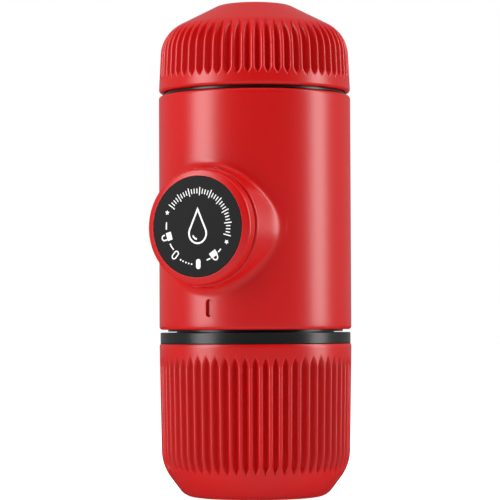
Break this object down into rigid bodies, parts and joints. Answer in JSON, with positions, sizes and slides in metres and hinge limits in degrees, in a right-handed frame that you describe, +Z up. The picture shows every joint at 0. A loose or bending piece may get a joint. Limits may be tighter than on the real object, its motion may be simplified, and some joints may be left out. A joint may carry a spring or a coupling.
{
  "type": "handheld manual espresso maker",
  "caption": "Upright hand-pumped espresso maker: fluted water tank, cylindrical body with a lockable round pump button on a boss, and a fluted cup over the outlet.",
  "frame": {"origin": "centre of the tank's flat base, on the main axis", "axes": "+Z up the main axis towards the cup, -Y towards the pump button"},
  "size_m": [0.061, 0.068, 0.156],
  "materials": {
    "red_plastic": "fine satin moulded",
    "dark_plastic": "fine satin moulded",
    "black_face": "matt film",
    "steel": "brushed",
    "screw_steel": "zinc plated",
    "rubber": "moulded silicone"
  },
  "bodies": {
    "body": {"body_shell": "red_plastic", "chassis": "dark_plastic", "brew_head": "dark_plastic", "chassis_screws": "screw_steel", "pump_cylinder": "steel", "cylinder_gland": "dark_plastic", "cylinder_cap": "dark_plastic", "return_spring": "steel", "inlet_filter": "steel", "inlet_valve": "rubber", "suction_tube": "dark_plastic", "vent_valve": "rubber", "valve_seat": "dark_plastic", "valve_spring": "steel", "delivery_nipple": "dark_plastic", "shower_screen": "steel", "shower_screw": "screw_steel", "brew_gasket": "rubber"},
    "tank_ring": {"tank_o_ring": "rubber"},
    "tank": {"tank_shell": "red_plastic", "tank_liner": "dark_plastic"},
    "seal": {"piston_seal": "rubber"},
    "knob": {"knob_shell": "red_plastic", "knob_face": "black_face", "knob_screw": "screw_steel", "piston_rod": "steel"},
    "ball": {"valve_ball": "steel"},
    "head_ring": {"head_o_ring": "rubber"},
    "head": {"outlet_head": "dark_plastic", "crema_valve": "rubber", "spout_nozzle": "steel"},
    "basket": {"filter_basket": "steel"},
    "scoop": {"scoop": "dark_plastic"},
    "cup": {"cup": "red_plastic"}
  },
  "joints": [
    {"name": "tank_turn", "type": "hinge", "parent": "body", "child": "tank_ring", "pos_m": [0, 0, 0.05], "axis": [0, 0, -1], "range_deg": [0, 432]},
    {"name": "tank_drop", "type": "slide", "parent": "tank_ring", "child": "tank", "axis": [0, 0, -1], "range_m": [0, 0.01085]},
    {"name": "piston_stroke", "type": "slide", "parent": "body", "child": "seal", "axis": [0, -1, 0], "range_m": [0, 0.014], "deforming": ["return_spring"]},
    {"name": "piston_turn", "type": "hinge", "parent": "seal", "child": "knob", "pos_m": [0, 0, 0.0843], "axis": [0, -1, 0], "range_deg": [0, 43]},
    {"name": "valve_lift", "type": "slide", "parent": "body", "child": "ball", "axis": [0, 0, 1], "range_m": [0, 0.0008], "stiffness_N_per_m": 100, "springref_m": -0.002, "deforming": ["valve_spring"]},
    {"name": "head_lift", "type": "slide", "parent": "body", "child": "head_ring", "axis": [0, 0, 1], "range_m": [0, 0.00905]},
    {"name": "head_turn", "type": "hinge", "parent": "head_ring", "child": "head", "pos_m": [0, 0, 0.13], "axis": [0, 0, 1], "range_deg": [0, 432]},
    {"name": "cup_lift", "type": "slide", "parent": "head", "child": "cup", "axis": [0, 0, 1], "range_m": [0, 0.03]},
    {"name": "basket_lift", "type": "slide", "parent": "body", "child": "basket", "axis": [0, 0, 1], "range_m": [0, 0.00455]},
    {"name": "scoop_lift", "type": "slide", "parent": "body", "child": "scoop", "axis": [0, 0, 1], "range_m": [0, 0.0023]}
  ],
  "couplings": [
    {"joint": "tank_drop", "follows": "tank_turn", "m_per_rad": 0.0014324},
    {"joint": "head_lift", "follows": "head_turn", "m_per_rad": 0.0011937},
    {"joint": "basket_lift", "follows": "head_turn", "m_per_rad": 0.00059683},
    {"joint": "scoop_lift", "follows": "head_turn", "m_per_rad": 0.00029842}
  ]
}
